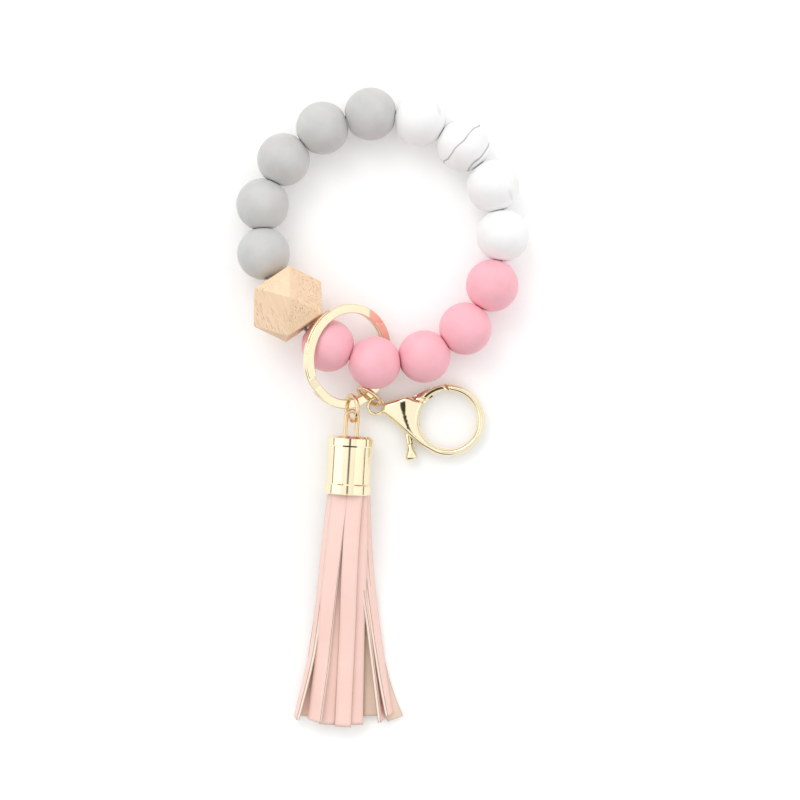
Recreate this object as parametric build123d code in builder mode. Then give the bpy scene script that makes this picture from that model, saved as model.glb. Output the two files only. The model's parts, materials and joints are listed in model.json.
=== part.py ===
"""Wristlet keychain: a bracelet of beads on an elastic cord, a split ring, a tassel and a trigger clasp.

Millimetres, +Z up. The origin is the middle of the wrist loop, on the table that everything lies on.
+Y runs away from the tassel, +X to the clasp's side.
"""

from build123d import *
import os
from math import cos, pi, radians, sin, sqrt, tan

os.makedirs("parts", exist_ok=True)

# ---- beads and cord
BEAD_RADIUS = 7.5
BEAD_BORE = 2.5
BEAD_HALF = 7.2  # half length that the end cones would reach on the axis
END_SLOPE = 14  # degrees, so that beads threaded in a curve meet without biting
RIM_ROUND = 1.0
WOOD_HALF = 8.2  # centre to a square face
WOOD_BORE = 4.0
WOOD_ROLL = 9  # degrees that the upper corner leans into the loop
WOOD_ROUND = 0.35
CORD_D = 1.0
CORD_BEND = 12
KNOT_D = 2.0
KNOT_LENGTH = 3.0

# The cord turns at these points. Each bead is threaded on the run that follows its point.
CORD_ROUTE = [
    (-32.3, -11.7, 10.6),
    (-35.8, 2.1, 8.0),
    (-33.0, 16.4, 7.5),
    (-23.9, 27.9, 7.5),
    (-10.8, 34.4, 7.5),
    (3.7, 36.0, 7.5),
    (17.4, 31.1, 7.5),
    (28.5, 21.3, 7.5),
    (34.4, 7.7, 7.5),
    (34.0, -6.8, 7.5),
    (28.4, -20.8, 7.5),
    (18.6, -31.5, 8.0),
    (4.9, -36.8, 9.6),
    (-9.6, -35.1, 10.2),
    (-21.7, -27.0, 11.2),
]
BEAD_NAMES = (
    [f"grey_bead_{i}" for i in range(1, 6)]
    + [f"marble_bead_{i}" for i in range(1, 5)]
    + [f"pink_bead_{i}" for i in range(5, 0, -1)]
    + ["wood_bead"]
)
# How far a bead's bore sits above (or below) the cord in it, where the key ring or the table pushes it.
BEAD_LIFT = {"pink_bead_2": 0.5, "pink_bead_1": -0.3, "grey_bead_1": -0.5, "wood_bead": 0.9}
KNOT_BEAD = "grey_bead_3"

# ---- split ring
RING_CENTRE = Vector(-9.9, -34.1, 10.25)
RING_TILT = 39  # degrees; its right side is down
RING_TURN = 78  # degrees from +X to the level line across it
RING_MID_R = 13.7
RING_BAND = 2.6
COIL = 1.0
COIL_GAP = 0.05
COIL_END = 215  # degrees round the ring where the upper coil stops
RAMP = 19

# ---- jump rings
JUMP_R = 3.65
JUMP_WIRE = 1.2
JUMP_SEAM = 3  # degrees left open at the seam
TASSEL_JUMP = (Vector(-8.94, -48.86, 6.95), Vector(-0.877, -0.07, 0.475))
CLASP_JUMP = (Vector(-4.07, -45.45, 4.02), Vector(0.566, 0.742, -0.361))

# ---- tassel
TASSEL_TOP = Vector(-9.23, -56.85, 6.75)
TASSEL_LEAN = 3.45  # degrees that the fringe end swings towards -X
CAP_RIM_R = 6.7
CAP_BODY_R = 6.35
CAP_LENGTH = 16.7
CAP_RIM = 3.1
CAP_WALL = 0.8
CAP_TOP = 1.2
BAIL_WIRE = 1.2
BAIL_HALF = 1.65
BAIL_REACH = 5.5
WASHER = 0.8
HEADER_R = 5.3
STRIP_WIDTH = 4.5
STRIP_THICK = 1.1
STRIP_LENGTH = 67.0
STRIP_START = 1.2  # below the cap's mouth, so that the fringe can bend

# ---- clasp, flat on the table, in its own frame: x from the eye to the hook
CLASP_EYE = Vector(-2.06, -48.37, 2.6)
CLASP_TURN = -10.9
CLASP_THICK = 4.6
EYE_R = 2.8
EYE_HOLE = 1.86
EYE_THICK = 1.9
HOOK_X = 21.2
HOOK_R = 10.5
HOOK_HOLE = 8.25
NOSE = 103  # degrees round the hook where its nose meets the gate
NOSE_SLANT = -40  # degrees of that joint's line, which lets the gate slide in under the nose
NOSE_LAP = 9  # degrees that hook and gate are made past the joint before it is cut
JOINT_GAP = 0.15
GATE_ROOT = 146
PIVOT = (9.5, 1.0)
PIN_R = 0.8
PIN_LENGTH = 4.2  # its ends are sunk in the casting
SLOT = 1.6
PLATE = 1.3
GATE_THICK = 3.4
FIT = 0.1


def unit(vector):
    return vector.normalized()


def write(builder, name):
    builder.part.label = name
    export_step(builder.part, f"parts/{name}.step")


def polar(centre, radius, angle):
    return (centre[0] + radius * cos(radians(angle)), centre[1] + radius * sin(radians(angle)))


# ---- the strand
def run_plane(start, end, lift):
    """x along the run, z as near up as it can be, at the middle of the run and lifted."""
    along = unit(end - start)
    across = unit(Vector(0, 0, 1).cross(along))
    return Plane((start + end) / 2 + Vector(0, 0, lift), x_dir=along, z_dir=along.cross(across))


def silicone_bead(name, plane):
    slope = tan(radians(END_SLOPE))
    reach = BEAD_HALF * slope
    rim = reach + sqrt(reach**2 - (1 + slope**2) * (BEAD_HALF**2 - BEAD_RADIUS**2))
    rim /= 1 + slope**2
    bore = BEAD_BORE / 2
    mouth = BEAD_HALF - bore * slope
    edge = BEAD_HALF - rim * slope
    with BuildPart() as bead:
        with BuildSketch(plane):
            with BuildLine():
                Polyline((-edge, rim), (-mouth, bore), (mouth, bore), (edge, rim))
                ThreePointArc((edge, rim), (0, BEAD_RADIUS), (-edge, rim))
            make_face()
        revolve(axis=Axis(plane.origin, plane.x_dir))
        rims = [e for e in bead.edges().filter_by(GeomType.CIRCLE) if abs(e.radius - rim) < 0.01]
        fillet(rims, RIM_ROUND)
    write(bead, name)


def wood_bead(name, plane):
    """A cuboctahedron, bored through two opposite square faces, with a corner on top."""
    corners = []
    for a in (-WOOD_HALF, WOOD_HALF):
        for b in (-WOOD_HALF, WOOD_HALF):
            corners += [(a, b, 0), (a, 0, b), (0, a, b)]
    turn = radians(45 + WOOD_ROLL)
    turned = [(x, y * cos(turn) - z * sin(turn), y * sin(turn) + z * cos(turn)) for x, y, z in corners]
    with BuildPart(plane) as bead:
        ConvexPolyhedron(turned)
        fillet(bead.edges(), WOOD_ROUND)
        Cylinder(WOOD_BORE / 2, 4 * WOOD_HALF, rotation=(0, 90, 0), mode=Mode.SUBTRACT)
    write(bead, name)


route = [Vector(*point) for point in CORD_ROUTE]
runs = list(zip(BEAD_NAMES, route, route[1:] + route[:1]))
for name, start, end in runs:
    plane = run_plane(start, end, BEAD_LIFT.get(name, 0))
    if name == "wood_bead":
        wood_bead(name, plane)
    else:
        silicone_bead(name, plane)

# The cord goes all the way round, from one side of the knot to the other.
knot_run = BEAD_NAMES.index(KNOT_BEAD)
_, before, after = runs[knot_run]
knot_plane = run_plane(before, after, 0)
along = knot_plane.x_dir
first = knot_plane.origin + along * (KNOT_LENGTH / 2)
last = knot_plane.origin - along * (KNOT_LENGTH / 2)
turns = route[knot_run + 1 :] + route[: knot_run + 1]
with BuildPart() as elastic_cord:
    with BuildLine() as cord_path:
        FilletPolyline(first, *turns, last, radius=CORD_BEND)
    with BuildSketch(Plane(first, z_dir=along)):
        Circle(CORD_D / 2)
    sweep(path=cord_path.wires()[0])
write(elastic_cord, "elastic_cord")
length = cord_path.wires()[0].length
print("cord length", round(length + KNOT_LENGTH, 1), "bend", CORD_BEND)
print("cord volume over section x length", round(elastic_cord.part.volume / (length * pi * CORD_D**2 / 4), 4))

with BuildPart() as cord_knot:
    with BuildSketch(knot_plane):
        with BuildLine():
            ends = KNOT_LENGTH / 2
            Polyline((-ends, KNOT_D / 4), (-ends, 0), (ends, 0), (ends, KNOT_D / 4))
            Spline(
                (ends, KNOT_D / 4),
                (ends * 0.66, KNOT_D / 2),
                (ends * 0.33, KNOT_D * 0.42),
                (0, KNOT_D / 2),
                (-ends * 0.33, KNOT_D * 0.42),
                (-ends * 0.66, KNOT_D / 2),
                (-ends, KNOT_D / 4),
            )
        make_face()
    revolve(axis=Axis(knot_plane.origin, knot_plane.x_dir))
write(cord_knot, "cord_knot")

# ---- the split ring: two coils of flat strip joined by a ramp
level = Vector(cos(radians(RING_TURN)), sin(radians(RING_TURN)), 0)
outward = Vector(level.Y, -level.X, 0)
down_slope = outward * cos(radians(RING_TILT)) - Vector(0, 0, 1) * sin(radians(RING_TILT))
ring_up = outward * sin(radians(RING_TILT)) + Vector(0, 0, 1) * cos(radians(RING_TILT))


def round_ring(angle):
    return down_slope * cos(radians(angle)) + level * sin(radians(angle))


def ring_section(angle, height):
    radial = round_ring(angle)
    ahead = round_ring(angle + 90)
    return Plane(RING_CENTRE + radial * RING_MID_R + ring_up * height, x_dir=radial, z_dir=ahead)


coil_z = (COIL + COIL_GAP) / 2
ring_axis = Axis(RING_CENTRE, ring_up)
with BuildPart() as key_ring:
    for height in (-coil_z, coil_z):
        with BuildSketch(ring_section(COIL_END + RAMP, height)):
            RectangleRounded(RING_BAND, COIL, 0.25)
        revolve(axis=ring_axis, revolution_arc=360 - RAMP)
    for share in (0, 0.33, 0.67, 1):
        rise = coil_z * -cos(pi * share)
        with BuildSketch(ring_section(COIL_END + RAMP * share, rise)):
            RectangleRounded(RING_BAND, COIL, 0.25)
    loft()
write(key_ring, "key_ring")


# ---- jump rings
def jump_ring(name, centre, normal):
    side = unit(Vector(0, 0, 1).cross(normal))
    with BuildPart() as ring:
        with BuildSketch(Plane(centre + side * JUMP_R, x_dir=side, z_dir=normal.cross(side))):
            Circle(JUMP_WIRE / 2)
        revolve(axis=Axis(centre, normal), revolution_arc=360 - JUMP_SEAM)
    write(ring, name)


jump_ring("tassel_jump_ring", TASSEL_JUMP[0], unit(TASSEL_JUMP[1]))
jump_ring("clasp_jump_ring", CLASP_JUMP[0], unit(CLASP_JUMP[1]))

# ---- the tassel: local x to its side, y along it from the fringe to the bail, z up
lean = radians(TASSEL_LEAN)
tassel_plane = Plane(TASSEL_TOP, x_dir=(cos(lean), -sin(lean), 0), z_dir=(0, 0, 1))
tassel_axis = Axis(TASSEL_TOP, tassel_plane.y_dir)
with BuildPart() as tassel_bail:
    foot = -CAP_TOP - WASHER
    with BuildLine(tassel_plane) as bail_path:
        Line((BAIL_HALF, foot), (BAIL_HALF, BAIL_REACH))
        ThreePointArc((BAIL_HALF, BAIL_REACH), (0, BAIL_REACH + BAIL_HALF), (-BAIL_HALF, BAIL_REACH))
        Line((-BAIL_HALF, BAIL_REACH), (-BAIL_HALF, foot))
    start_at = tassel_plane.from_local_coords(Vector(BAIL_HALF, foot, 0))
    with BuildSketch(Plane(start_at, z_dir=tassel_plane.y_dir)):
        Circle(BAIL_WIRE / 2)
    sweep(path=bail_path.wires()[0])
    for side in (-1, 1):
        foot_at = tassel_plane.from_local_coords(Vector(side * BAIL_HALF, foot, 0))
        with BuildSketch(Plane(foot_at, z_dir=-tassel_plane.y_dir)):
            Circle(BAIL_WIRE / 2 + 0.35)
        extrude(amount=0.6)
write(tassel_bail, "tassel_bail")


def bored_disc(name, near, far, radius, hole):
    """A disc across the tassel with two holes for the bail's legs."""
    at = tassel_plane.from_local_coords(Vector(0, near, 0))
    with BuildPart() as disc:
        with BuildSketch(Plane(at, x_dir=tassel_plane.x_dir, z_dir=-tassel_plane.y_dir)):
            Circle(radius)
            with Locations((BAIL_HALF, 0), (-BAIL_HALF, 0)):
                Circle(hole, mode=Mode.SUBTRACT)
        extrude(amount=near - far)
    write(disc, name)


bored_disc("bail_washer", -CAP_TOP, -CAP_TOP - WASHER, 4.5, BAIL_WIRE / 2 + 0.03)

with BuildPart() as tassel_cap:
    with BuildSketch(tassel_plane):
        with BuildLine():
            inner = CAP_BODY_R - CAP_WALL
            Polyline(
                (0, 0),
                (CAP_RIM_R - 0.9, 0),
                (CAP_RIM_R, -0.7),
                (CAP_RIM_R, -CAP_RIM + 0.4),
                (CAP_BODY_R, -CAP_RIM),
                (CAP_BODY_R, -CAP_LENGTH + CAP_RIM),
                (CAP_RIM_R, -CAP_LENGTH + CAP_RIM - 0.4),
                (CAP_RIM_R, -CAP_LENGTH + 0.3),
                (CAP_RIM_R - 0.3, -CAP_LENGTH),
                (inner, -CAP_LENGTH),
                (inner, -CAP_TOP),
                (0, -CAP_TOP),
                close=True,
            )
        make_face()
    revolve(axis=tassel_axis)
    with BuildSketch(Plane(TASSEL_TOP, x_dir=tassel_plane.x_dir, z_dir=-tassel_plane.y_dir)):
        with Locations((BAIL_HALF, 0), (-BAIL_HALF, 0)):
            Circle(BAIL_WIRE / 2 + 0.03)
    extrude(amount=CAP_TOP, mode=Mode.SUBTRACT)
write(tassel_cap, "tassel_cap")

header_start = CAP_TOP + WASHER + 0.7
with BuildPart() as fringe_header:
    at = tassel_plane.from_local_coords(Vector(0, -header_start, 0))
    with BuildSketch(Plane(at, x_dir=tassel_plane.x_dir, z_dir=-tassel_plane.y_dir)):
        Circle(HEADER_R)
    extrude(amount=CAP_LENGTH - header_start)
write(fringe_header, "fringe_header")

# Each strip: side and height at the cap's mouth, then side and height at its free end.
STRIPS = [
    (-4.3, 1.35, -13.4, -2.2),
    (-2.15, 1.35, -8.2, -2.4),
    (0, 1.35, -0.3, -2.0),
    (2.15, 1.35, 4.7, -2.2),
    (4.3, 1.35, 15.2, -2.2),
    (-4.3, -1.35, -11.0, -5.6),
    (-2.15, -1.35, -4.2, -5.6),
    (0, -1.35, 1.4, -5.6),
    (2.15, -1.35, 7.6, -5.6),
    (4.3, -1.35, 12.8, -5.6),
]
MOUTH_BLOCK = (1.95, 2.4)
for number, (side, height, end_side, end_height) in enumerate(STRIPS, 1):
    near = Vector(side, -CAP_LENGTH - STRIP_START, height)
    far = Vector(end_side, -CAP_LENGTH - STRIP_LENGTH, end_height)
    with BuildPart() as strip:
        for at, size in ((near, MOUTH_BLOCK), (far, (STRIP_WIDTH, STRIP_THICK))):
            spot = tassel_plane.from_local_coords(at)
            with BuildSketch(Plane(spot, x_dir=tassel_plane.x_dir, z_dir=-tassel_plane.y_dir)):
                Rectangle(*size)
        loft(ruled=True)
    write(strip, f"leather_strip_{number}")

# ---- the clasp
eye_turn = radians(CLASP_TURN)


def clasp_plane(height=0.0):
    return Plane(
        CLASP_EYE + Vector(0, 0, height), x_dir=(cos(eye_turn), sin(eye_turn), 0), z_dir=(0, 0, 1)
    )


HOOK = (HOOK_X, 0)
hook_mid = (HOOK_R + HOOK_HOLE) / 2
hook_axis = Axis(clasp_plane().from_local_coords(Vector(HOOK_X, 0, 0)), (0, 0, 1))
nose_at = clasp_plane().from_local_coords(Vector(*polar(HOOK, hook_mid, NOSE + NOSE_LAP), 0))
nose_out = unit(nose_at - hook_axis.position)


def joint_side(way, gap):
    """A block's outline on one side (+1 or -1) of the slanted joint between nose and gate."""
    middle = polar(HOOK, hook_mid, NOSE)
    middle = polar(middle, gap * way, NOSE_SLANT + 90)
    start, end = polar(middle, -2.4, NOSE_SLANT), polar(middle, 4, NOSE_SLANT)
    return [start, end, polar(end, 4 * way, NOSE_SLANT + 90), polar(start, 4 * way, NOSE_SLANT + 90)]


with BuildPart() as clasp_body:
    with BuildSketch(clasp_plane(-CLASP_THICK / 2)):
        with BuildLine():
            Polyline(
                (2.0, 1.5),
                (4.6, 3.1),
                (7.2, 4.4),
                (11.7, 4.7),
                (14.6, 2.0),
                (19.5, -9.0),
                (18.4, -9.9),
                (14.3, -8.6),
                (9.4, -5.9),
                (5.1, -3.2),
                (2.0, -1.5),
                close=True,
            )
        make_face()
    extrude(amount=CLASP_THICK)
    chamfer(clasp_body.faces().filter_by(Axis.Z).edges(), 0.5)
    with BuildSketch(Plane(nose_at, x_dir=nose_out, z_dir=nose_out.cross(Vector(0, 0, 1)))):
        RectangleRounded(HOOK_R - HOOK_HOLE, CLASP_THICK, 0.9)
    revolve(axis=hook_axis, revolution_arc=GATE_ROOT + 10 - NOSE - NOSE_LAP - 360)
    with BuildSketch(clasp_plane(-CLASP_THICK / 2)):
        with Locations(HOOK):
            Circle(HOOK_HOLE)
    extrude(amount=CLASP_THICK, mode=Mode.SUBTRACT)
    with BuildSketch(clasp_plane(-CLASP_THICK / 2)):
        with BuildLine():
            Polyline(*joint_side(-1, 0), close=True)
        make_face()
    extrude(amount=CLASP_THICK, mode=Mode.SUBTRACT)
    with BuildSketch(clasp_plane(-EYE_THICK / 2)):
        Circle(EYE_R)
    extrude(amount=EYE_THICK)
    with BuildSketch(clasp_plane(-CLASP_THICK / 2)):
        Circle(EYE_HOLE)
    extrude(amount=CLASP_THICK, mode=Mode.SUBTRACT)
    with BuildSketch(clasp_plane(-CLASP_THICK / 2)):
        with Locations(PIVOT):
            Circle(PIN_R)
    extrude(amount=CLASP_THICK, mode=Mode.SUBTRACT)
    with BuildSketch(clasp_plane(-SLOT / 2)):
        with Locations(PIVOT):
            Circle(2.6)
        with BuildLine():
            Polyline((12.2, 0), (15.2, -14.0), (4.9, -14.0), (7.0, 0), close=True)
        make_face()
        with BuildLine():
            Polyline((9.5, -1.6), (15.0, -1.6), (18, 3), (17, 9), (7.9, 9), (7.9, 3.0), close=True)
        make_face()
    extrude(amount=SLOT, mode=Mode.SUBTRACT)
write(clasp_body, "clasp_body")

with BuildPart() as clasp_lever:
    with BuildSketch(clasp_plane(-PLATE / 2)):
        with Locations(PIVOT):
            Circle(2.2)
        with BuildLine():
            Polyline((7.9, 2.2), (10.2, 5.0), (14.2, 8.0), (15.6, 5.9), (13.4, 3.6), (11.4, 0), close=True)
        make_face()
        with BuildLine():
            Polyline(
                (8.6, -0.8), (11.9, -11.6), (11.3, -12.9), (14.5, -12.9), (13.4, -11.6), (11.4, -0.2),
                close=True,
            )
        make_face()
        with Locations(PIVOT):
            Circle(PIN_R + 0.05, mode=Mode.SUBTRACT)
    extrude(amount=PLATE)
    with BuildSketch(clasp_plane(-GATE_THICK / 2)):
        with BuildLine():
            inside = HOOK_HOLE + 0.2
            tip = NOSE - NOSE_LAP
            half_way = (tip + GATE_ROOT) / 2
            near, far = polar(HOOK, inside, GATE_ROOT), polar(HOOK, inside, tip)
            ThreePointArc(near, polar(HOOK, inside, half_way), far)
            outer_far, outer_near = polar(HOOK, HOOK_R, tip), polar(HOOK, HOOK_R + 0.4, GATE_ROOT)
            Line(far, outer_far)
            ThreePointArc(outer_far, polar(HOOK, HOOK_R + 0.1, half_way), outer_near)
            Line(outer_near, near)
        make_face()
    extrude(amount=GATE_THICK)
    with BuildSketch(clasp_plane(-GATE_THICK / 2)):
        with BuildLine():
            Polyline(*joint_side(1, -JOINT_GAP), close=True)
        make_face()
    extrude(amount=GATE_THICK, mode=Mode.SUBTRACT)
    with BuildSketch(clasp_plane(-GATE_THICK / 2)):
        with BuildLine():
            Polyline((11.2, -11.9), (11.2, -13.3), (14.7, -13.3), (14.7, -11.9), close=True)
        make_face()
    extrude(amount=GATE_THICK)
write(clasp_lever, "clasp_lever")

with BuildPart() as lever_pin:
    with BuildSketch(clasp_plane(-PIN_LENGTH / 2)):
        with Locations(PIVOT):
            Circle(PIN_R)
    extrude(amount=PIN_LENGTH)
write(lever_pin, "lever_pin")

SPRING_R = 0.55
SPRING_WIRE = 0.2
SPRING_TURNS = 5
spring_x = unit(clasp_plane().x_dir)
spring_at = clasp_plane().from_local_coords(Vector(6.8, -3.2, 0))
with BuildPart() as lever_spring:
    with BuildLine() as coil_path:
        Helix(2.2 / SPRING_TURNS, 2.2, SPRING_R, center=spring_at, direction=spring_x)
    start = coil_path.wires()[0] @ 0
    with BuildSketch(Plane(start, z_dir=coil_path.wires()[0] % 0)):
        Circle(SPRING_WIRE / 2)
    sweep(path=coil_path.wires()[0], is_frenet=True)
write(lever_spring, "lever_spring")
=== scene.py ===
"""Looks for the wristlet keychain: materials, beads, leather fringe, cast clasp, table, lights and camera."""

import json
from math import asin, cos, pi, radians, sin, sqrt

import bmesh
import bpy
import numpy as np
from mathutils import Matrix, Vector
from mathutils.geometry import delaunay_2d_cdt


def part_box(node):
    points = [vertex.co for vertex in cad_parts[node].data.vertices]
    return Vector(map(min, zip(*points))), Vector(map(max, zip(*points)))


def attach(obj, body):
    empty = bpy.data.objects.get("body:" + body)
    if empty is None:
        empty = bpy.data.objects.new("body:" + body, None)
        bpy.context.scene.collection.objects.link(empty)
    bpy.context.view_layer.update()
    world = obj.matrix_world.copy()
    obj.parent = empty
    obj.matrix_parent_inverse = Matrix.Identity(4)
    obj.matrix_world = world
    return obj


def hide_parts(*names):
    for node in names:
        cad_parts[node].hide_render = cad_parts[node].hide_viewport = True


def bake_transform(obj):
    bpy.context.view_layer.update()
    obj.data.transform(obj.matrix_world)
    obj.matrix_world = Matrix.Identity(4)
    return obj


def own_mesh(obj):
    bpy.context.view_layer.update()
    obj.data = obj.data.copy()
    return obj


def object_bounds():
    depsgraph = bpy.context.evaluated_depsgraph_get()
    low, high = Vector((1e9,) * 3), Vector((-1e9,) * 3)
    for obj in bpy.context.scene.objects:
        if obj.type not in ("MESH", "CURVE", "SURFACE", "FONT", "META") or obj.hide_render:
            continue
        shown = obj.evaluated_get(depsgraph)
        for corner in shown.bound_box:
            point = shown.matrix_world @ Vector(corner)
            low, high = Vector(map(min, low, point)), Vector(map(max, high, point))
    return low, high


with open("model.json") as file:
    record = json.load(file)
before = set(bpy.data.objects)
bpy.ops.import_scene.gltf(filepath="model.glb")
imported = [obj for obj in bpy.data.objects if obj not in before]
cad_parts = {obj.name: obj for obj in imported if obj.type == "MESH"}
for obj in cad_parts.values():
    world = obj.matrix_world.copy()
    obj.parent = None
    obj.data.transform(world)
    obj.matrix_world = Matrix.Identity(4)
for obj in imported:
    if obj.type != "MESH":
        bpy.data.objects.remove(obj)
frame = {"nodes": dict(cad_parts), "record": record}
cad_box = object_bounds()
MM = 0.001
record = frame["record"]
joints = {joint["name"]: joint for joint in record["behaviour"]["joints"]}
mounts = {mount["name"]: mount for mount in record["mounts"]}

# ---- camera: straight down, with the loop above the middle of the picture
LOOK_AT = Vector((4.86, -46.57, 0)) * MM
CAMERA_HEIGHT = 0.5475
LENS = 85
camera = bpy.data.objects.new("camera", bpy.data.cameras.new("camera"))
bpy.context.scene.collection.objects.link(camera)
camera.data.lens = LENS
camera.data.clip_start = 0.01
camera.location = LOOK_AT + Vector((0, 0, CAMERA_HEIGHT))
bpy.context.scene.camera = camera


# ---- material helpers
def new_material(name):
    made = bpy.data.materials.new(name)
    made.use_nodes = True
    tree = made.node_tree
    shader = tree.nodes["Principled BSDF"]
    return made, tree, shader


def node(tree, kind, **inputs):
    made = tree.nodes.new(kind)
    for key, value in inputs.items():
        key = key.replace("_", " ")
        if key in made.inputs:
            made.inputs[key].default_value = value
        else:
            setattr(made, key.replace(" ", "_"), value)
    return made


def noise(tree, vector, scale, detail=3.0, rough=0.5):
    made = node(tree, "ShaderNodeTexNoise", Scale=scale, Detail=detail, Roughness=rough)
    tree.links.new(vector, made.inputs["Vector"])
    return made.outputs["Fac"]


def ramp(tree, value, stops):
    made = tree.nodes.new("ShaderNodeValToRGB")
    points = made.color_ramp.elements
    while len(points) < len(stops):
        points.new(0.5)
    for point, (at, colour) in zip(points, stops):
        point.position = at
        point.color = (*colour, 1)
    tree.links.new(value, made.inputs["Fac"])
    return made.outputs["Color"]


def span(tree, value, low, high):
    made = tree.nodes.new("ShaderNodeMapRange")
    made.inputs["To Min"].default_value = low
    made.inputs["To Max"].default_value = high
    tree.links.new(value, made.inputs["Value"])
    return made.outputs["Result"]


def bump(tree, shader, height, strength, distance):
    made = node(tree, "ShaderNodeBump", Strength=strength, Distance=distance)
    tree.links.new(height, made.inputs["Height"])
    tree.links.new(made.outputs["Normal"], shader.inputs["Normal"])


def place(tree, scale=(1, 1, 1), turn=(0, 0, 0)):
    """Coordinates fixed to the piece, in metres, stretched and turned."""
    coords = tree.nodes.new("ShaderNodeTexCoord")
    mapping = tree.nodes.new("ShaderNodeMapping")
    mapping.vector_type = "TEXTURE"
    mapping.inputs["Rotation"].default_value = turn
    mapping.inputs["Scale"].default_value = scale
    tree.links.new(coords.outputs["Object"], mapping.inputs["Vector"])
    return mapping.outputs["Vector"]


def mix(tree, factor, first, second):
    made = tree.nodes.new("ShaderNodeMix")
    made.data_type = "RGBA"
    for socket, value in ((made.inputs[0], factor), (made.inputs[6], first), (made.inputs[7], second)):
        if isinstance(value, tuple):
            socket.default_value = (*value, 1)
        elif isinstance(value, float):
            socket.default_value = value
        else:
            tree.links.new(value, socket)
    return made.outputs[2]


# ---- materials
BLOOM = 5200  # scale of the fine bloom on moulded silicone


def silicone(name, colour):
    """Matt moulded silicone: nearly even, with a faint cloud of colour and a fine bloom."""
    made, tree, shader = new_material(name)
    at = place(tree)
    paler = tuple(min(1, c * 1.05) for c in colour)
    darker = tuple(c * 0.95 for c in colour)
    cloud = ramp(tree, noise(tree, at, 180), [(0.3, darker), (0.7, paler)])
    tree.links.new(cloud, shader.inputs["Base Color"])
    tree.links.new(span(tree, noise(tree, at, 900), 0.42, 0.56), shader.inputs["Roughness"])
    shader.inputs["Subsurface Weight"].default_value = 0.3
    shader.inputs["Subsurface Radius"].default_value = (0.006, 0.002, 0.0015)
    shader.inputs["Specular IOR Level"].default_value = 0.35
    bump(tree, shader, noise(tree, at, BLOOM, 2), 0.06, 0.0002)
    return made


def marble(name, turn, bands, strength, vein_width, bare):
    """White silicone with grey veins across the turned direction, and none where the patch noise is low."""
    made, tree, shader = new_material(name)
    at = place(tree, turn=turn)
    wave = node(tree, "ShaderNodeTexWave", Scale=bands, Distortion=3.2, Detail=3.0)
    wave.inputs["Detail Scale"].default_value = 1.4
    tree.links.new(at, wave.inputs["Vector"])
    middle = (strength * 0.4,) * 3
    fading = [(0.0, (strength,) * 3), (vein_width * 0.35, middle), (vein_width, (0, 0, 0))]
    vein = ramp(tree, wave.outputs["Fac"], fading)
    where = ramp(tree, noise(tree, at, 75, 2), [(bare, (0, 0, 0)), (bare + 0.12, (1, 1, 1))])
    masked = tree.nodes.new("ShaderNodeMath")
    masked.operation = "MULTIPLY"
    tree.links.new(vein, masked.inputs[0])
    tree.links.new(where, masked.inputs[1])
    cloud = ramp(tree, noise(tree, at, 120), [(0.35, (0.87, 0.87, 0.87)), (0.65, (0.93, 0.93, 0.93))])
    veined = mix(tree, masked.outputs["Value"], cloud, (0.36, 0.35, 0.37))
    tree.links.new(veined, shader.inputs["Base Color"])
    tree.links.new(span(tree, noise(tree, at, 900), 0.40, 0.52), shader.inputs["Roughness"])
    shader.inputs["Subsurface Weight"].default_value = 0.15
    shader.inputs["Subsurface Radius"].default_value = (0.003, 0.003, 0.003)
    bump(tree, shader, noise(tree, at, BLOOM, 2), 0.06, 0.0002)
    return made


def beech(name):
    """Pale sanded beech: soft growth bands, and short dark flecks along the grain, in patches."""
    made, tree, shader = new_material(name)
    grain_turn = (0.25, 0.15, radians(-68))
    bands = noise(tree, place(tree, (1, 0.08, 0.08), grain_turn), 60, 4, 0.6)
    tones = [(0.30, (0.88, 0.63, 0.42)), (0.50, (0.91, 0.67, 0.46)), (0.72, (0.94, 0.71, 0.51))]
    wood = ramp(tree, bands, tones)
    fleck = noise(tree, place(tree, (1, 0.13, 0.13), grain_turn), 480, 2, 0.5)
    patch = ramp(tree, noise(tree, place(tree), 95, 1), [(0.34, (0, 0, 0)), (0.50, (1, 1, 1))])
    flecks = ramp(tree, fleck, [(0.56, (0, 0, 0)), (0.66, (0.7, 0.7, 0.7))])
    masked = tree.nodes.new("ShaderNodeMath")
    masked.operation = "MULTIPLY"
    tree.links.new(flecks, masked.inputs[0])
    tree.links.new(patch, masked.inputs[1])
    marked = mix(tree, masked.outputs["Value"], wood, (0.46, 0.28, 0.16))
    tree.links.new(marked, shader.inputs["Base Color"])
    tree.links.new(span(tree, bands, 0.5, 0.62), shader.inputs["Roughness"])
    shader.inputs["Specular IOR Level"].default_value = 0.3
    bump(tree, shader, masked.outputs["Value"], 0.25, -0.0003)
    return made


def gold(name, low, high):
    """Polished plating, with the faintest handling haze."""
    made, tree, shader = new_material(name)
    at = place(tree)
    tone = ramp(tree, noise(tree, at, 90), [(0.3, low), (0.7, high)])
    tree.links.new(tone, shader.inputs["Base Color"])
    shader.inputs["Metallic"].default_value = 1.0
    tree.links.new(span(tree, noise(tree, at, 700), 0.035, 0.08), shader.inputs["Roughness"])
    bump(tree, shader, noise(tree, at, 450, 2), 0.02, 0.0003)
    return made


def leather(name, low, high, grain):
    """Pebbled leather: a fine grain for its coated face, a coarse one for its back and cut edges."""
    made, tree, shader = new_material(name)
    at = place(tree)
    tree.links.new(ramp(tree, noise(tree, at, 70, 4), [(0.3, low), (0.7, high)]), shader.inputs["Base Color"])
    cells = node(tree, "ShaderNodeTexVoronoi", Scale=grain)
    tree.links.new(at, cells.inputs["Vector"])
    tree.links.new(span(tree, cells.outputs["Distance"], 0.48, 0.62), shader.inputs["Roughness"])
    shader.inputs["Specular IOR Level"].default_value = 0.3
    shader.inputs["Sheen Weight"].default_value = 0.1
    bump(tree, shader, cells.outputs["Distance"], 0.12, 0.0002)
    return made


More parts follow.
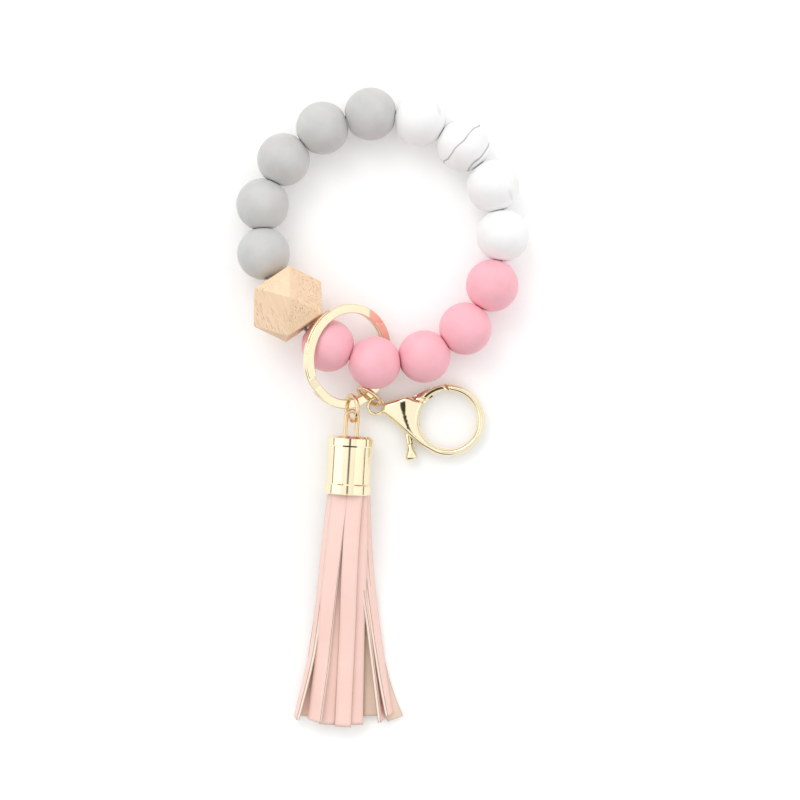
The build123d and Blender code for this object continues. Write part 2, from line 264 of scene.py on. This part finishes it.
def plain(name, colour, metal, rough):
    """Small hidden pieces: steel wire or elastic thread."""
    made, tree, shader = new_material(name)
    at = place(tree)
    darker = tuple(c * 0.85 for c in colour)
    grain = ramp(tree, noise(tree, at, 2500), [(0.35, darker), (0.65, colour)])
    tree.links.new(grain, shader.inputs["Base Color"])
    shader.inputs["Metallic"].default_value = metal
    shader.inputs["Roughness"].default_value = rough
    bump(tree, shader, noise(tree, at, 4000, 2), 0.1, 0.0002)
    return made


looks = {
    "grey_silicone": silicone("grey_silicone_look", (0.585, 0.585, 0.575)),
    "marble_silicone": marble("marble_silicone_look", (0.5, 0.3, 0.7), 32.0, 0.4, 0.08, 0.5),
    "pink_silicone": silicone("pink_silicone_look", (0.93, 0.48, 0.545)),
    "beech": beech("beech_look"),
    "gold": gold("gold_look", (0.90, 0.80, 0.56), (0.94, 0.85, 0.62)),
    "spring_steel": plain("spring_steel_look", (0.6, 0.6, 0.6), 1.0, 0.3),
    "cord": plain("cord_look", (0.42, 0.40, 0.38), 0.0, 0.5),
    "peach_leather": leather("peach_leather_look", (0.91, 0.62, 0.55), (0.94, 0.67, 0.60), 2600.0),
}
leather_back = leather("leather_back_look", (0.74, 0.56, 0.44), (0.84, 0.68, 0.56), 1500.0)
leather_edge = leather("leather_edge_look", (0.86, 0.76, 0.66), (0.92, 0.83, 0.74), 1500.0)
# Dark brown for the strips' rounded corners: painted shade along their edges, not the leather's own colour.
painted_shade_corner = leather("painted_shade_corner_look", (0.42, 0.29, 0.22), (0.52, 0.37, 0.29), 1500.0)

warm_gold = gold("warm_gold_look", (0.82, 0.60, 0.36), (0.87, 0.67, 0.43))
veined_marble = marble("veined_marble_look", (0, 0, radians(-40)), 50.0, 0.85, 0.034, 0.28)

# The wire links are plated a warmer gold than the castings.
WIRE_LINKS = ("tassel_jump_ring", "clasp_jump_ring", "tassel_bail")
slots = {part["node"]: part["material_slot"] for part in record["subparts"]}
for name, piece in frame["nodes"].items():
    piece.data.materials.clear()
    piece.data.materials.append(warm_gold if name in WIRE_LINKS else looks[slots[name]])


# ---- mesh helpers
def make_piece(name, vertices, faces, material, smooth=True):
    mesh = bpy.data.meshes.new(name)
    mesh.from_pydata([tuple(v) for v in vertices], [], faces)
    mesh.materials.append(material)
    mesh.validate()
    work = bmesh.new()
    work.from_mesh(mesh)
    bmesh.ops.recalc_face_normals(work, faces=work.faces)
    work.to_mesh(mesh)
    work.free()
    if smooth:
        mesh.shade_smooth()
    piece = bpy.data.objects.new(name, mesh)
    bpy.context.scene.collection.objects.link(piece)
    return piece


def catmull(points, steps):
    """A smooth curve through the points, with the ends repeated."""
    line = [points[0], *points, points[-1]]
    made = []
    for a, b, c, d in zip(line, line[1:], line[2:], line[3:]):
        for step in range(steps):
            t = step / steps
            squared = (2 * a - 5 * b + 4 * c - d) * t**2
            cubed = (3 * b - a - 3 * c + d) * t**3
            made.append(0.5 * ((2 * b) + (c - a) * t + squared + cubed))
    made.append(points[-1])
    return made


# ---- the silicone beads: round, bored, and pressed flat where each meets its neighbours
BEAD_RADIUS = 7.5
BORE_RADIUS = 1.25
BORE_ROUND = 0.35
PRESS_ROUND = 0.22  # how softly a bead turns flat where it presses
PRESS_GAP = 0.03
WOOD_HALF = 8.2  # half the wooden bead's length along the cord
AROUND, ALONG = 72, 56  # points round a bead and from bore to bore


def middle_of(name):
    low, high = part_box(name)
    return (Vector(low) + Vector(high)) / 2


def pressed(spot, wall, outward):
    """The spot, held back from a wall with a small rounding where it starts to press."""
    beyond = (spot - wall).dot(outward)
    held = (beyond - sqrt(beyond**2 + (PRESS_ROUND * MM) ** 2)) / 2
    return spot + outward * (held - beyond)


def bead_walls(name, before, after):
    """A point on each wall that the bead presses on, and the way out of the bead there."""
    centre = middle_of(name)
    walls = []
    for other in (before, after):
        gap = middle_of(other) - centre
        if other == "wood_bead":
            out = Vector(joints["wood_bead_spin"]["axis"]).normalized()
            out *= 1 if out.dot(gap) > 0 else -1
            walls.append((middle_of(other) - out * ((WOOD_HALF + PRESS_GAP) * MM), out))
        else:
            out = gap.normalized()
            walls.append((centre + gap / 2 - out * (PRESS_GAP * MM), out))
    return walls


def silicone_bead(name, before, after, material):
    centre = middle_of(name)
    axis = Vector(joints[name + "_spin"]["axis"]).normalized()
    side = axis.orthogonal().normalized()
    other_side = axis.cross(side)
    walls = bead_walls(name, before, after)
    first = asin((BORE_RADIUS + BORE_ROUND) / BEAD_RADIUS)
    profile = [(BEAD_RADIUS * cos(first) - BORE_ROUND, BORE_RADIUS)]
    profile += [(BEAD_RADIUS * cos(first) - BORE_ROUND * 0.3, BORE_RADIUS + BORE_ROUND * 0.3)]
    for k in range(ALONG + 1):
        angle = first + (pi - 2 * first) * k / ALONG
        profile.append((BEAD_RADIUS * cos(angle), BEAD_RADIUS * sin(angle)))
    profile += [(-x, r) for x, r in profile[1::-1]]
    vertices, faces = [], []
    for x, r in profile:
        for k in range(AROUND):
            turn = 2 * pi * k / AROUND
            spot = centre + axis * (x * MM) + (side * cos(turn) + other_side * sin(turn)) * (r * MM)
            for wall, outward in walls:
                spot = pressed(spot, wall, outward)
            vertices.append(spot)
    rows = len(profile)
    for row in range(rows):
        after_row = (row + 1) % rows
        for k in range(AROUND):
            n = (k + 1) % AROUND
            faces.append((row * AROUND + k, row * AROUND + n, after_row * AROUND + n, after_row * AROUND + k))
    bead = make_piece(name + "_skin", vertices, faces, material)
    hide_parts(name)
    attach(bead, name)


thread = [joint["child"] for joint in record["behaviour"]["joints"] if joint["name"].endswith("_spin")]
for k, name in enumerate(thread):
    if name == "wood_bead":
        continue
    material = veined_marble if name == "marble_bead_2" else looks[slots[name]]
    silicone_bead(name, thread[k - 1], thread[(k + 1) % len(thread)], material)

# ---- the fringe: one leather sheet cut into strips and rolled into the cap
bend_joint = joints["fringe_bend"]
side_axis = Vector(bend_joint["axis"]).normalized()
down_axis = Vector((0, 0, 1)).cross(side_axis) * -1
mouth = Vector(bend_joint["pos_m"])
CAP_LENGTH = 16.9
STRIP_WIDTH = 4.7
STRIP_THICK = 0.95

# Each strip: (side, down, height over table) in mm along its middle, and its roll at the cap and the end.
STRIPS = [
    ([(-4.2, 13, 7.6), (-5.3, 30, 7.4), (-6.4, 52, 5.0), (-7.8, 66, 3.8), (-10.8, 82.2, 2.9)], 70, 78),
    ([(-1.7, 13, 10.4), (-2.6, 28, 10.3), (-3.8, 51, 7.8), (-4.4, 66, 6.0), (-5.5, 82.4, 4.6)], 8, 38),
    ([(-1.0, 13, 9.0), (-1.1, 33, 8.9), (-1.4, 52, 6.6), (-1.8, 83.4, 3.4)], 0, 0),
    ([(2.3, 13, 10.8), (2.0, 28, 10.7), (2.1, 42, 9.4), (2.4, 56, 7.2), (2.7, 83.6, 4.4)], -4, 3),
    ([(3.3, 13, 9.3), (4.4, 30, 9.2), (4.7, 42, 7.9), (5.0, 56, 5.9), (6.1, 83.0, 3.2)], -14, -8),
    ([(2.2, 13, 5.4), (5.2, 38, 5.0), (8.3, 57.9, 3.2), (10.6, 80.4, 1.6)], 180, 180),
    ([(4.2, 13, 6.8), (6.4, 40.0, 5.8), (8.9, 54.5, 4.4), (13.7, 81.5, 2.8)], -66, -76),
    ([(4.6, 13, 5.2), (6.9, 35, 4.6), (9.8, 52, 3.9), (12.9, 67.2, 3.5), (15.8, 79.5, 2.9)], -58, -72),
    ([(2.6, 13, 3.9), (5.6, 38, 1.9), (10.2, 60.6, 0.8), (13.8, 72.5, 0.7), (17.6, 81, 0.7)], 180, 180),
    ([(-3.2, 13, 4.4), (-3.8, 35, 3.8), (-5.4, 55, 2.0), (-8.0, 81.8, 1.0)], 6, 0),
    ([(-0.9, 13, 5.6), (-1.0, 35, 4.6), (0.4, 55, 2.4), (3.4, 82.6, 1.0)], 0, 0),
]
# The strip's section between rounded cut edges, in half widths and half thicknesses.
SECTION = [(-1, -0.6), (-0.96, -1), (-0.5, -1), (0, -1), (0.5, -1), (0.96, -1), (1, -0.6)]
SECTION += [(-x, -y) for x, y in SECTION]
# What covers each stretch of that section: dark corners painted as the shade along the strips' edges, pale
# cut edges, the tan back and the coloured face.
FACE, BACK, PAINTED_SHADE_CORNER, EDGE = 0, 1, 2, 3
SECTION_COATS = [PAINTED_SHADE_CORNER, BACK, BACK, BACK, BACK, PAINTED_SHADE_CORNER, EDGE, PAINTED_SHADE_CORNER, FACE, FACE, FACE, FACE, PAINTED_SHADE_CORNER, EDGE]
SEGMENTS = 16


def strip_mesh(points, roll_start, roll_end, vertices, faces, coats):
    centre = catmull([Vector(p) for p in points], SEGMENTS)
    rows = []
    for index, spot in enumerate(centre):
        along = (centre[min(index + 1, len(centre) - 1)] - centre[max(index - 1, 0)]).normalized()
        share = index / (len(centre) - 1)
        roll = radians(roll_start + (roll_end - roll_start) * share)
        across = Vector((1, 0, 0)) - along * along.x
        across.normalize()
        face_up = across.cross(along)
        wide = across * cos(roll) + face_up * sin(roll)
        thick = wide.cross(along)
        row = []
        for x, y in SECTION:
            local = spot + wide * (x * STRIP_WIDTH / 2) + thick * (y * STRIP_THICK / 2)
            world = mouth + side_axis * (local.x * MM) + down_axis * ((local.y - CAP_LENGTH) * MM)
            world.z = local.z * MM
            row.append(len(vertices))
            vertices.append(world)
        rows.append(row)
    count = len(SECTION)
    for near, far in zip(rows, rows[1:]):
        for k in range(count):
            after = (k + 1) % count
            coats.append(SECTION_COATS[k])
            faces.append((near[k], near[after], far[after], far[k]))
    for row in (rows[0], rows[-1][::-1]):
        coats.append(EDGE)
        faces.append(tuple(row))


vertices, faces, coats = [], [], []
for points, roll_start, roll_end in STRIPS:
    strip_mesh(points, roll_start, roll_end, vertices, faces, coats)
fringe = make_piece("leather_fringe", vertices, faces, looks["peach_leather"])
for coat_material in (leather_back, painted_shade_corner, leather_edge):
    fringe.data.materials.append(coat_material)
for polygon, coat in zip(fringe.data.polygons, coats):
    polygon.material_index = coat
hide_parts("fringe_header", *[f"leather_strip_{i}" for i in range(1, 11)])
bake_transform(fringe)

# ---- the clasp: cast pieces, domed on both faces from their outlines
eye = Vector(joints["clasp_swing"]["pos_m"])
hook = Vector(mounts["clasp_hook"]["pos_m"])
clasp_x = (hook - eye).normalized()
clasp_y = Vector((0, 0, 1)).cross(clasp_x)
HOOK_AT = ((hook - eye).length / MM, 0)
HOOK_R = 10.5
HOLE_R = 8.25
NOSE = 103  # degrees round the hook where its nose meets the gate, on a slant
NOSE_SLANT = 5
BODY_END = 154
EYE_R = 2.8
EYE_HOLE = 1.86
DOME_RISE = 2.6
DOME_WIDTH = 1.25
PITCH = 0.5


def arc(centre, radius, start, end, step=4):
    count = max(2, int(abs(end - start) / step))
    angles = [radians(start + (end - start) * k / count) for k in range(count + 1)]
    return [Vector((centre[0] + radius * cos(a), centre[1] + radius * sin(a))) for a in angles]


def smooth_line(points, steps=6):
    return catmull([Vector(p) for p in points], steps)


def spread(points, pitch):
    """The closed outline again, with points about a pitch apart."""
    made = []
    for a, b in zip(points, points[1:] + points[:1]):
        count = max(1, round((b - a).length / pitch))
        made += [a.lerp(b, k / count) for k in range(count)]
    return made


# How far in from its edge, in mm, a casting has its rows of points.
REACHES = (0.08, 0.22, 0.42, 0.7, 1.05, 1.5, 2.0, 2.5, 3.1, 3.8, 4.6)
SQUARE_ON = 0.94  # a point nearer than this share of its reach to another edge is left out
RECENT = 300  # how many of the latest points a new one is held apart from
APART = 0.35


class Region:
    """The flat area inside the first outline and outside the others."""

    def __init__(self, outlines, pitch):
        self.points, self.edges = [], []
        for outline in outlines:
            loop = spread(outline, pitch)
            first = len(self.points)
            self.points += loop
            self.edges += [(first + k, first + (k + 1) % len(loop)) for k in range(len(loop))]
        self.starts = np.array([self.points[a] for a, _ in self.edges])
        self.ends = np.array([self.points[b] for _, b in self.edges])

    def depth(self, spot):
        """Distance to the nearest edge, negative outside."""
        spot = np.array(spot)
        ways = self.ends - self.starts
        shares = ((spot - self.starts) * ways).sum(1) / (ways * ways).sum(1)
        nearest = self.starts + ways * np.clip(shares, 0, 1)[:, None]
        far = np.hypot(*(nearest - spot).T).min()
        crosses = (self.starts[:, 1] > spot[1]) != (self.ends[:, 1] > spot[1])
        a, b = self.starts[crosses], self.ends[crosses]
        hits = np.sum(spot[0] < (b[:, 0] - a[:, 0]) * (spot[1] - a[:, 1]) / (b[:, 1] - a[:, 1]) + a[:, 0])
        return far if hits % 2 else -far


def domed(outlines, rise, width, pitch=PITCH, shape=None, extra=()):
    """Vertices and faces of a closed casting on an outline, alike on both faces.

    It rounds up from its edge over the width to its rise, which the shape scales from place to place.
    """
    region = Region(outlines, pitch)
    spots = list(region.points)
    kept = [spot for spot in extra if region.depth(spot) > 0.3]
    for reach in REACHES:
        for a, b in zip(region.starts, region.ends):
            way = Vector(b - a).normalized()
            for sign in (-1, 1):
                spot = Vector((a + b) / 2) + Vector((-way.y, way.x)) * (reach * sign)
                if region.depth(spot) < SQUARE_ON * reach:
                    continue
                apart = APART * min(pitch, reach * 2)
                if any((spot - other).length < apart for other in kept[: len(extra)] + kept[-RECENT:]):
                    continue
                kept.append(spot)
    flat, _, triangles, *_ = delaunay_2d_cdt(spots + kept, region.edges, [], 0, 1e-5)
    triangles = [t for t in triangles if region.depth(sum((flat[k] for k in t), Vector((0, 0))) / 3) > 0]
    vertices, tops, bottoms = [], {}, {}
    for k, spot in enumerate(flat):
        depth = max(0.0, region.depth(spot))
        share = min(depth / width, 1)
        height = rise * sqrt(1 - (1 - share) ** 2) * (shape(spot) if shape else 1)
        base = eye + clasp_x * (spot.x * MM) + clasp_y * (spot.y * MM)
        tops[k] = bottoms[k] = len(vertices)
        vertices.append(base + Vector((0, 0, height * MM)))
        if depth > 1e-3:
            bottoms[k] = len(vertices)
            vertices.append(base - Vector((0, 0, height * MM)))
    faces = [tuple(tops[k] for k in t) for t in triangles]
    faces += [tuple(bottoms[k] for k in reversed(t)) for t in triangles]
    return vertices, faces


CREST = smooth_line([(6.7, 4.6), (8.05, 0.1), (10.4, -4.4), (13.3, -7.4), (16.4, -8.8)], 4)
CREST_FALL = 0.07
CREST_FLAT = 1.15
RING_BLEND = 5.0
RING_SHARE = 0.66


def crest_spots():
    """Points on the crest and along both borders of its level strip."""
    made = []
    for k, (a, b) in enumerate(zip(CREST, CREST[1:])):
        way = (b - a).normalized()
        side = Vector((-way.y, way.x))
        half = CREST_FLAT * (1 - k / (len(CREST) - 1))
        made += [a + side * (half + 0.4), a + side * half, a, a - side * half, a - side * (half + 0.4)]
    return made


def crested(spot):
    """Share of the full rise: level along the crest, and falling away on both sides of it."""
    nearest, flat_half = 99.0, 0.0
    for k, (a, b) in enumerate(zip(CREST, CREST[1:])):
        way = b - a
        share = min(1, max(0, (spot - a).dot(way) / way.length_squared))
        far = (a + way * share - spot).length
        if far < nearest:
            nearest = far
            flat_half = CREST_FLAT * (1 - (k + share) / (len(CREST) - 1))
    to_ring = min(1, max(0, (spot.x - CREST[-1].x) / RING_BLEND)) if spot.y < 0 else 1.0
    if spot.y >= 0 and spot.x < HOOK_AT[0] - HOLE_R:
        to_ring = 0.0
    on_body = 1 - CREST_FALL * min(4.5, max(0, nearest - flat_half))
    return on_body * (1 - to_ring) + RING_SHARE * to_ring


def casting(name, solids, body, replaced):
    vertices, faces = [], []
    for solid_vertices, solid_faces in solids:
        first = len(vertices)
        vertices += solid_vertices
        faces += [tuple(k + first for k in face) for face in solid_faces]
    piece = make_piece(name, vertices, faces, looks["gold"])
    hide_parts(replaced)
    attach(piece, body)
    return piece


def prism(outline, half_height):
    """A plain slab on an outline, used where a casting is hidden or cut."""
    count = len(outline)
    corners = [eye + clasp_x * (p[0] * MM) + clasp_y * (p[1] * MM) for p in outline]
    lift = Vector((0, 0, half_height * MM))
    faces = [tuple(range(count))[::-1], tuple(range(count, 2 * count))]
    faces += [(k, (k + 1) % count, count + (k + 1) % count, count + k) for k in range(count)]
    return [c - lift for c in corners] + [c + lift for c in corners], faces


upper = smooth_line([(2.3, 1.7), (5.0, 3.15), (7.2, 4.45), (8.6, 4.75), (10.8, 4.25), (12.2, 4.3)])
lower = smooth_line([(18.6, -10.15), (14.3, -8.65), (9.4, -5.95), (5.1, -3.2), (2.2, -1.75)])
body_outline = upper + arc(HOOK_AT, HOLE_R, BODY_END, 360 + NOSE - NOSE_SLANT)
body_outline += arc(HOOK_AT, HOOK_R, NOSE + NOSE_SLANT, -102) + lower
body_outline += arc((0, 0), EYE_R, -41, -319, 10)[1:-1]
eye_outline = arc((0, 0), EYE_HOLE, 0, 350, 10)
body_solid = domed([body_outline, eye_outline], DOME_RISE, DOME_WIDTH, shape=crested, extra=crest_spots())
clasp = casting("clasp_casting", [body_solid], "clasp", "clasp_body")

# The lever works in a slot through the casting.
SLOT_HALF = 0.8
# Outlines of the slot below and above the lever pin.
tail_slot = [(11.7, 2.2), (13.0, 0), (14.9, -14.0), (5.2, -14.0), (7.2, 0), (7.6, 2.2)]
gate_slot = [(9.5, -1.6), (15.0, -1.6), (18, 3), (17, 9), (7.9, 9), (7.9, 3.0)]
for corners in (tail_slot, gate_slot):
    cutter = make_piece("slot_cutter", *prism(corners, SLOT_HALF), looks["gold"], smooth=False)
    cut = clasp.modifiers.new("slot", "BOOLEAN")
    cut.object = cutter
    cut.operation = "DIFFERENCE"
    cut.solver = "EXACT"
    bpy.context.view_layer.update()
    mesh = bpy.data.meshes.new_from_object(clasp.evaluated_get(bpy.context.evaluated_depsgraph_get()))
    clasp.modifiers.clear()
    clasp.data = mesh
    bpy.data.objects.remove(cutter)

GATE_ROOT = 151
GATE_TIP = NOSE + 0.8
GATE_GAP = 0.2
gate_outline = arc(HOOK_AT, HOLE_R + GATE_GAP, GATE_ROOT, GATE_TIP - NOSE_SLANT)
gate_outline += arc(HOOK_AT, HOOK_R, GATE_TIP + NOSE_SLANT, GATE_ROOT)
plate_outline = [(7.9, 2.2), (10.2, 5.0), (14.2, 8.0), (15.6, 5.9), (13.4, 3.6), (11.4, 0)]
TAIL_START = Vector((10.0, -4.4))
TAIL_WAY = Vector((0.329, -0.944))
TAIL_SIDE = Vector((0.944, 0.329))


def tail_shape(sections):
    """The outline of a stretch of the tail, from (distance along it, half width) pairs."""
    left = [TAIL_START + TAIL_WAY * far - TAIL_SIDE * half for far, half in sections]
    right = [TAIL_START + TAIL_WAY * far + TAIL_SIDE * half for far, half in sections]
    return left + right[::-1]


hub = arc((9.5, 1.0), 2.2, 0, 340, 20)
TAIL = [(-4.5, 0.9), (-2.6, 0.9), (-2.2, 0.4), (0.2, 0.4), (0.7, 0.9), (3.2, 0.95), (5.0, 0.95), (6.4, 1.0)]
HEAD = [(4.4, 0.85), (5.6, 0.95), (6.6, 1.2), (7.6, 1.6), (8.5, 1.85), (9.1, 1.75), (9.4, 1.3), (9.55, 0.6)]
tail = tail_shape(TAIL)
head = tail_shape(HEAD)
lever_solids = [domed([gate_outline], 1.9, 0.42, 0.4), prism(plate_outline, 0.62), prism(hub, 0.6)]
lever_solids += [domed([tail], 0.68, 0.7, 0.4), domed([head], 1.55, 1.5, 0.35)]
casting("lever_casting", lever_solids, "clasp_lever", "clasp_lever")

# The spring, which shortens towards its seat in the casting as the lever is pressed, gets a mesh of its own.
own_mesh(frame["nodes"]["lever_spring"])

# ---- the table, a light tent and its lights
FLOOR_SIZE = 12.0
FLOOR_DROP = 0.0002
bpy.ops.mesh.primitive_plane_add(size=FLOOR_SIZE, location=(0, 0, min(0.0, cad_box[0][2]) - FLOOR_DROP))
floor = bpy.context.object
floor.name = "table"
paper, paper_tree, paper_shader = new_material("table_look")
paper_at = place(paper_tree)
paper_tones = [(0.3, (0.90, 0.90, 0.90)), (0.7, (0.92, 0.92, 0.92))]
white = ramp(paper_tree, noise(paper_tree, paper_at, 30), paper_tones)
paper_tree.links.new(white, paper_shader.inputs["Base Color"])
paper_shader.inputs["Roughness"].default_value = 0.9
paper_shader.inputs["Emission Color"].default_value = (1, 1, 1, 1)
paper_shader.inputs["Emission Strength"].default_value = 0.1
floor.data.materials.append(paper)


def area_light(name, place_at, size, watts):
    data = bpy.data.lights.new(name, "AREA")
    data.shape = "RECTANGLE"
    data.size, data.size_y = size
    data.energy = watts
    light = bpy.data.objects.new(name, data)
    light.location = place_at
    light.rotation_euler = (LOOK_AT - Vector(place_at)).to_track_quat("-Z", "Y").to_euler()
    bpy.context.scene.collection.objects.link(light)
    return light


area_light("top_light", (-0.35, 0.6, 0.9), (0.6, 0.4), 1.8)
area_light("left_light", (-0.9, -0.1, 0.6), (0.5, 0.9), 0.5)
area_light("right_light", (0.85, -0.2, 0.6), (0.5, 0.9), 0.3)

world = bpy.data.worlds.new("tent")
bpy.context.scene.world = world
world.use_nodes = True
sky = world.node_tree
coords = sky.nodes.new("ShaderNodeTexCoord")
heading = coords.outputs["Generated"]


def facing(direction):
    """How nearly the tent's point lies in this direction: 1 straight there, -1 straight away."""
    made = sky.nodes.new("ShaderNodeVectorMath")
    made.operation = "DOT_PRODUCT"
    sky.links.new(heading, made.inputs[0])
    made.inputs[1].default_value = Vector(direction).normalized()
    return made.outputs["Value"]


# A white tent, brighter far and left. It is dark straight up, round its foot and over its near left side.
BRIGHT_SIDE = (-0.35, 0.6, 0.5)
UP = (0, 0, 1)
NEAR_LEFT = (-0.45, -0.89, 0.05)
share = span(sky, facing(BRIGHT_SIDE), 0, 1)
share.node.inputs["From Min"].default_value = -0.7
tent = ramp(sky, share, [(0.0, (0.84, 0.83, 0.82)), (1.0, (1.2, 1.2, 1.2))])
dark = (0.05, 0.04, 0.025)
BLACK, WHITE = (0, 0, 0), (1, 1, 1)
for way, stops in (
    (UP, [(0.9955, BLACK), (0.9968, WHITE)]),
    (UP, [(0.0, WHITE), (0.06, WHITE), (0.09, BLACK)]),
    (NEAR_LEFT, [(0.74, BLACK), (0.79, WHITE)]),
):
    tent = mix(sky, ramp(sky, facing(way), stops), tent, dark)
sky.links.new(tent, sky.nodes["Background"].inputs["Color"])
sky.nodes["Background"].inputs["Strength"].default_value = 1.0
bpy.context.scene.view_settings.view_transform = "Standard"
